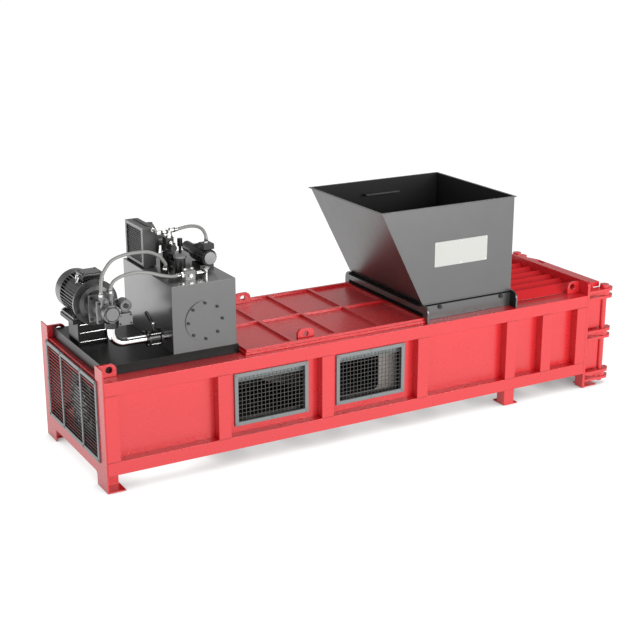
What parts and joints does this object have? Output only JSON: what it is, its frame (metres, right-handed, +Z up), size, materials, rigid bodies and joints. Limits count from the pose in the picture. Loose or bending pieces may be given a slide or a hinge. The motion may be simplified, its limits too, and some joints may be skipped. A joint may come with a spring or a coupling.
{
  "type": "recycling baler",
  "caption": "Horizontal recycling baler: welded tube frame, hydraulic ram, slanted feed hopper, power pack on the rear deck and a hinged bale door.",
  "frame": {"origin": "on the floor below the middle of the overall length and width", "axes": "+X from the grille end to the door end, +Y from the side with the window guards to the far side, +Z up"},
  "size_m": [4.67, 1.3, 1.735],
  "materials": {
    "red_paint": "gloss",
    "grey_paint": "satin",
    "frame_grey": "satin",
    "mesh_grey": "satin",
    "black_paint": "gloss",
    "dark_iron": "satin",
    "worn_steel": "worn",
    "bright_steel": "machined",
    "chrome_rod": "polished",
    "cooler_metal": "satin black",
    "fan_plastic": "matte",
    "hose_rubber": "smooth"
  },
  "bodies": {
    "frame": {"rear_end_plate": "red_paint", "rear_grille_frame": "frame_grey", "rear_grille_slats": "mesh_grey", "side_rails": "red_paint", "side_posts": "red_paint", "cross_rails": "red_paint", "near_side_panels": "red_paint", "far_side_panels": "red_paint", "side_liners": "worn_steel", "chamber_floor": "worn_steel", "roof_plate": "red_paint", "roof_beams": "red_paint", "front_end_plate": "red_paint", "door_clevises": "red_paint", "base_feet": "red_paint", "end_lugs": "red_paint", "cover_lugs": "red_paint", "deck_cover": "red_paint", "guard_frames": "frame_grey", "guard_meshes": "mesh_grey", "ram_guides": "worn_steel", "fixed_knife": "bright_steel", "cylinder_mount": "dark_iron", "cylinder_barrel": "dark_iron", "cylinder_cap": "dark_iron", "cap_bolts": "dark_iron", "cylinder_gland": "worn_steel", "hinge_pins": "red_paint", "hopper_base": "grey_paint", "hopper_bolts": "black_paint", "hopper": "grey_paint", "hopper_ledge": "grey_paint", "pack_tray": "black_paint", "oil_tank": "grey_paint", "cleanout_cover": "grey_paint", "motor_stand": "black_paint", "motor_housing": "black_paint", "motor_cowl": "black_paint", "bell_housing": "dark_iron", "oil_pump": "dark_iron", "suction_line": "chrome_rod", "tank_fittings": "dark_iron", "circulation_pump": "black_paint", "cooler_core": "cooler_metal", "cooler_shroud": "black_paint", "pressure_hose": "hose_rubber", "control_hose": "hose_rubber", "cooler_hose": "hose_rubber"},
    "ram": {"piston_rod": "chrome_rod", "rod_eye": "dark_iron", "rod_pin": "bright_steel", "ram_box": "worn_steel", "ram_face": "worn_steel", "ram_knife": "bright_steel", "ram_shoes": "bright_steel"},
    "door_leaf": {"door": "red_paint"},
    "lock": {"lock_claws": "red_paint"},
    "rotor": {"motor_rotor": "bright_steel"},
    "fan": {"cooler_fan": "fan_plastic"},
    "lever": {"valve_lever": "black_paint"}
  },
  "joints": [
    {"name": "ram_slide", "type": "slide", "parent": "frame", "child": "ram", "axis": [1, 0, 0], "range_m": [0, 1.1]},
    {"name": "door_swing", "type": "hinge", "parent": "frame", "child": "door_leaf", "pos_m": [2.185, -0.6, 0.47], "axis": [0, 0, -1], "range_deg": [0, 110]},
    {"name": "lock_swing", "type": "hinge", "parent": "frame", "child": "lock", "pos_m": [2.185, 0.6, 0.46], "axis": [0, 0, -1], "range_deg": [0, 90]},
    {"name": "motor_spin", "type": "hinge", "parent": "frame", "child": "rotor", "pos_m": [-2.138, 0, 1.233], "axis": [0, 1, 0], "continuous": true},
    {"name": "fan_spin", "type": "hinge", "parent": "frame", "child": "fan", "pos_m": [-1.584, 0.223, 1.553], "axis": [1, 0, 0], "continuous": true},
    {"name": "valve_turn", "type": "hinge", "parent": "frame", "child": "lever", "pos_m": [-1.823, -0.376, 1.091], "axis": [0, 0, 1], "range_deg": [0, 90]}
  ]
}
